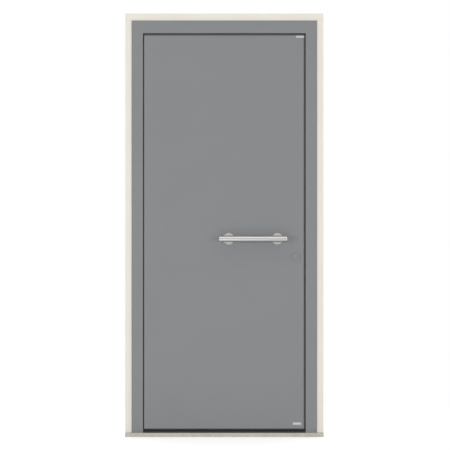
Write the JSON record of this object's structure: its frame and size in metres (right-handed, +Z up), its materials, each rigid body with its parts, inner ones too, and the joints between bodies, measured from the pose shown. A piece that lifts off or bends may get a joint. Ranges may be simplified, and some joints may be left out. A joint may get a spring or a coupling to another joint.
{
  "type": "wood-aluminium front door",
  "caption": "Flush front door set: aluminium-clad timber frame and leaf in a plain surround, with sill, threshold, side hinges, lock, inside lever and outside pull bar.",
  "frame": {"origin": "under the middle of the sill, on the face that beds on the ground, at mid-depth of the frame", "axes": "+X along the wall towards the lock as seen from the street, +Y from the street into the room, +Z up"},
  "size_m": [1.07, 0.254, 2.284],
  "materials": {
    "grey_powder": "fine-textured matt grey powder coat",
    "cream_paint": "cream matt paint on timber",
    "sill_stone": "fine-grained tan stone, ground smooth",
    "black_aluminium": "black, matt",
    "oak": "oiled oak, satin",
    "foam_core": "rigid insulating foam, closed in",
    "black_rubber": "soft black seal",
    "stainless": "brushed stainless steel"
  },
  "bodies": {
    "frame": {"sill": "sill_stone", "threshold": "black_aluminium", "left_surround_post": "cream_paint", "right_surround_post": "cream_paint", "surround_head": "cream_paint", "left_frame_post": "oak", "right_frame_post": "oak", "frame_head": "oak", "left_frame_cladding": "grey_powder", "right_frame_cladding": "grey_powder", "frame_head_cladding": "grey_powder", "bottom_strike_plate": "stainless", "main_strike_plate": "stainless", "top_strike_plate": "stainless", "bottom_hinge_frame_half": "stainless", "bottom_hinge_pin": "stainless", "middle_hinge_frame_half": "stainless", "middle_hinge_pin": "stainless", "top_hinge_frame_half": "stainless", "top_hinge_pin": "stainless"},
    "leaf": {"leaf_cladding": "grey_powder", "hinge_stile": "oak", "lock_stile": "oak", "top_rail": "oak", "bottom_rail": "oak", "leaf_core": "foam_core", "inner_facing": "oak", "step_gasket": "black_rubber", "overlap_gasket": "black_rubber", "lock_faceplate": "stainless", "lock_bolts": "stainless", "lock_cylinder": "stainless", "outside_cylinder_rosette": "grey_powder", "inside_cylinder_rosette": "stainless", "inside_lever": "stainless", "inside_lever_rosette": "stainless", "pull_bar": "stainless", "pull_bar_left_post": "stainless", "pull_bar_right_post": "stainless", "bottom_hinge_leaf_half": "stainless", "middle_hinge_leaf_half": "stainless", "top_hinge_leaf_half": "stainless"}
  },
  "joints": [
    {"name": "leaf_swing", "type": "hinge", "parent": "frame", "child": "leaf", "pos_m": [-0.487, 0.0635, 1.111], "axis": [0, 0, 1], "range_deg": [0, 100]}
  ]
}
